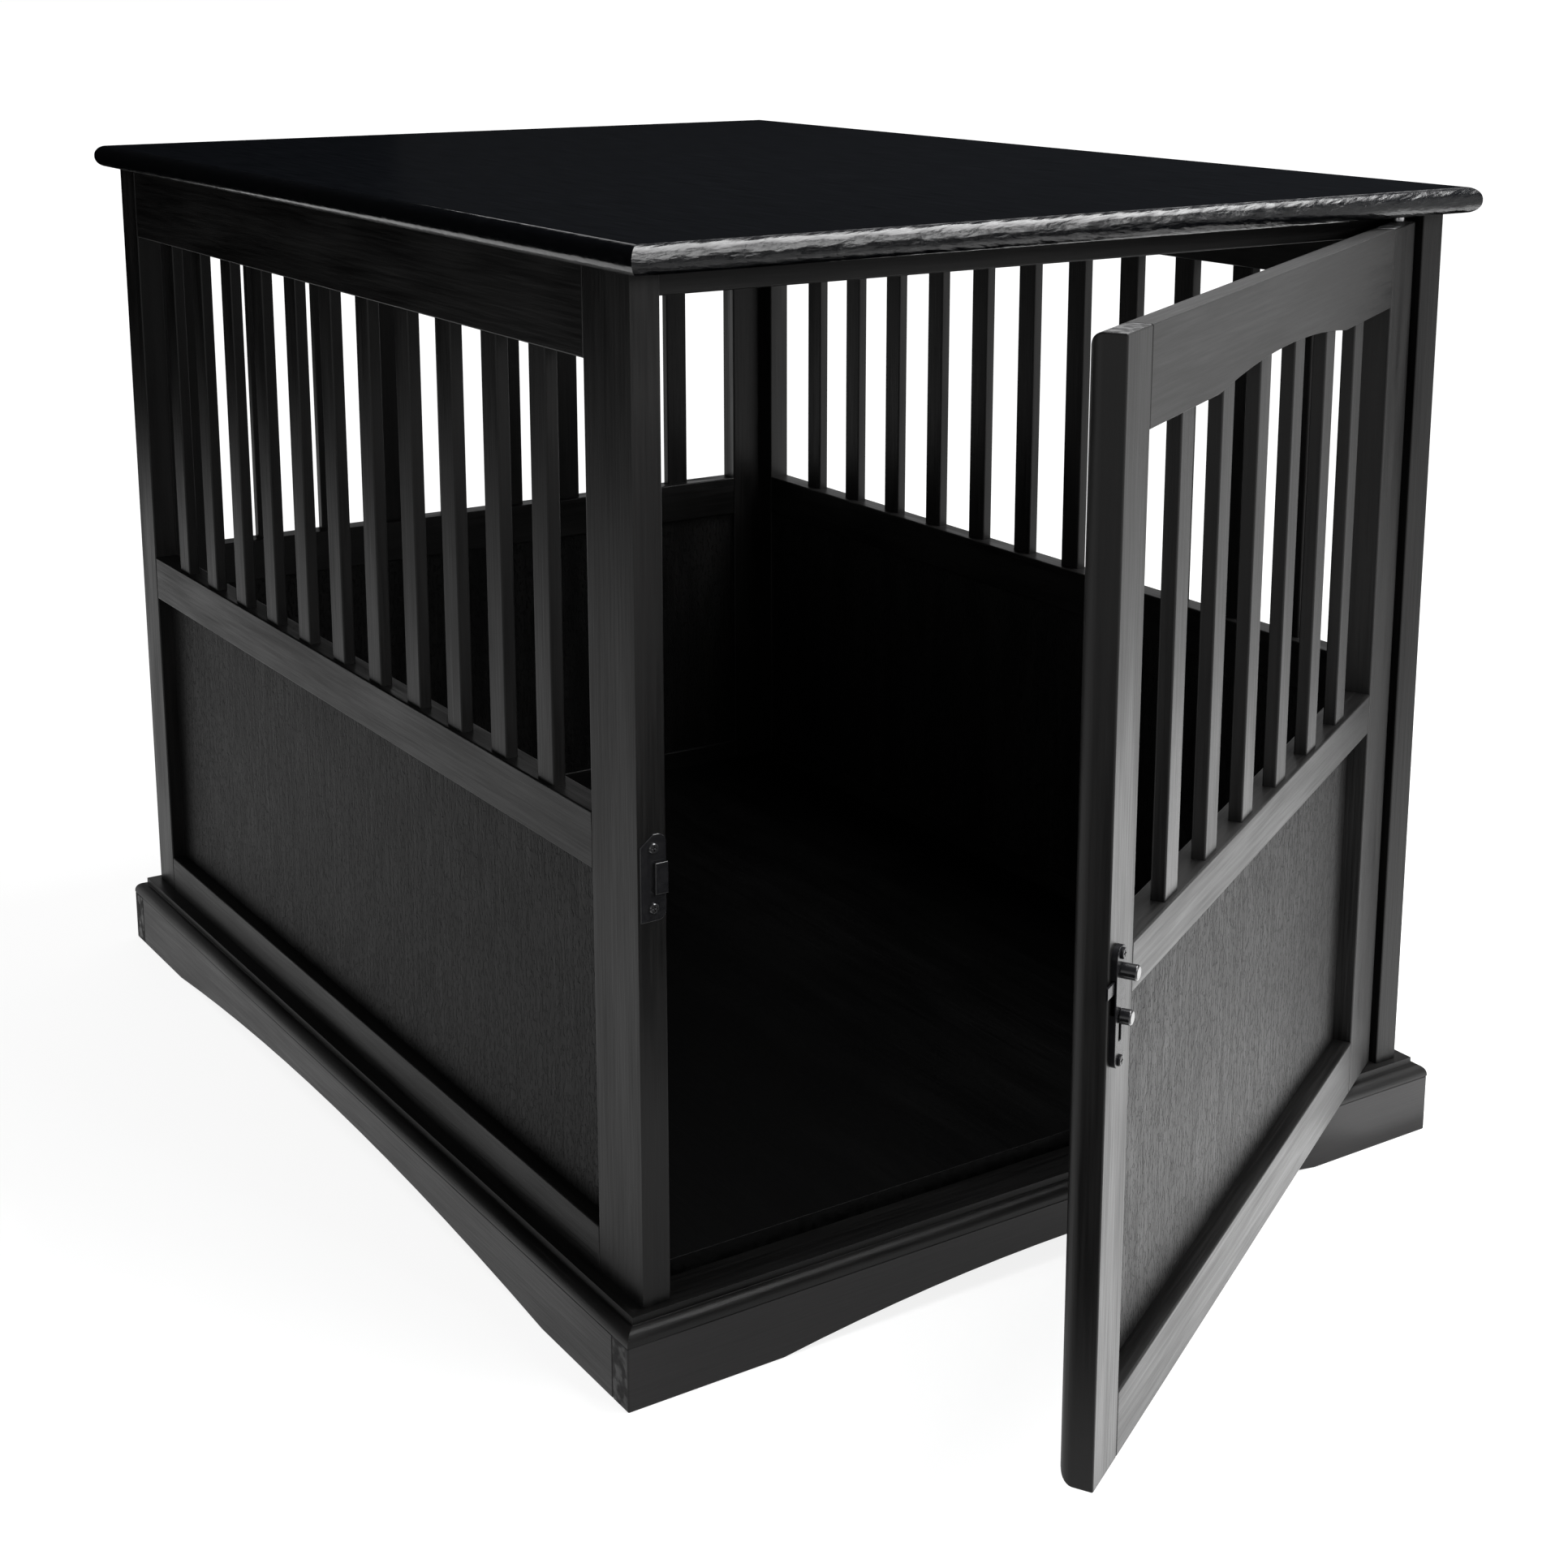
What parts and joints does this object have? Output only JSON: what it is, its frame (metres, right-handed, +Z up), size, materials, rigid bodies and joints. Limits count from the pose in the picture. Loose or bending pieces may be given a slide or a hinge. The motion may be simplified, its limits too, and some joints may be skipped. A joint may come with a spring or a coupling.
{
  "type": "pet crate",
  "caption": "Black wooden pet crate that serves as a side table: slatted sides over solid panels, moulded arched plinth, and an inset slatted door on pivots with a slide latch.",
  "frame": {"origin": "middle of the crate body's footprint, on the floor", "axes": "+X to the crate's right seen from the door side, +Y from the door to the back, +Z up"},
  "size_m": [0.7, 1.2229, 0.72],
  "materials": {
    "frame_paint": "satin black paint on solid wood, grain just showing",
    "panel_paint": "satin black stain on open-pored veneer",
    "top_paint": "semi-gloss black paint on wood",
    "hardware_black": "gloss black enamel",
    "steel_black": "black oxide with worn bright edges",
    "steel": "bright zinc plated",
    "bush_plastic": "matte black nylon"
  },
  "bodies": {
    "crate": {"back_bottom_rail": "frame_paint", "back_left_stile": "frame_paint", "back_mid_rail": "frame_paint", "back_panel": "panel_paint", "back_right_stile": "frame_paint", "back_slats": "frame_paint", "back_top_rail": "frame_paint", "bottom_pivot_bush": "bush_plastic", "cap_back": "frame_paint", "cap_front": "frame_paint", "cap_left": "frame_paint", "cap_right": "frame_paint", "floor_panel": "panel_paint", "front_stop_rail": "frame_paint", "left_bottom_rail": "frame_paint", "left_front_stile": "frame_paint", "left_mid_rail": "frame_paint", "left_panel": "panel_paint", "left_rear_stile": "frame_paint", "left_slats": "frame_paint", "left_top_cleat": "frame_paint", "left_top_rail": "frame_paint", "plinth_back": "frame_paint", "plinth_corner_blocks": "frame_paint", "plinth_front": "frame_paint", "plinth_left": "frame_paint", "plinth_right": "frame_paint", "right_bottom_rail": "frame_paint", "right_front_stile": "frame_paint", "right_mid_rail": "frame_paint", "right_panel": "panel_paint", "right_rear_stile": "frame_paint", "right_slats": "frame_paint", "right_top_cleat": "frame_paint", "right_top_rail": "frame_paint", "strike_plate": "hardware_black", "strike_screws": "steel_black", "top_cleat_screws": "steel", "top_edge_back": "top_paint", "top_edge_front": "top_paint", "top_edge_left": "top_paint", "top_edge_right": "top_paint", "top_panel": "top_paint", "top_pivot_bush": "bush_plastic"},
    "door": {"bottom_pivot_pin": "steel", "door_bottom_rail": "frame_paint", "door_free_stile": "frame_paint", "door_hinge_stile": "frame_paint", "door_mid_rail": "frame_paint", "door_panel": "panel_paint", "door_slats": "frame_paint", "door_top_rail": "frame_paint", "latch_case": "hardware_black", "latch_fixed_peg": "hardware_black", "latch_screws": "steel_black", "top_pivot_pin": "steel"},
    "latch_slide": {"latch_slide": "hardware_black", "latch_slide_peg": "hardware_black"}
  },
  "joints": [
    {"name": "door_swing", "type": "hinge", "parent": "crate", "child": "door", "pos_m": [0.297, -0.431, 0.378], "axis": [0, 0, 1], "range_deg": [-30, 65]},
    {"name": "latch_drop", "type": "slide", "parent": "door", "child": "latch_slide", "axis": [0, 0, 1], "range_m": [-0.012, 0]}
  ]
}
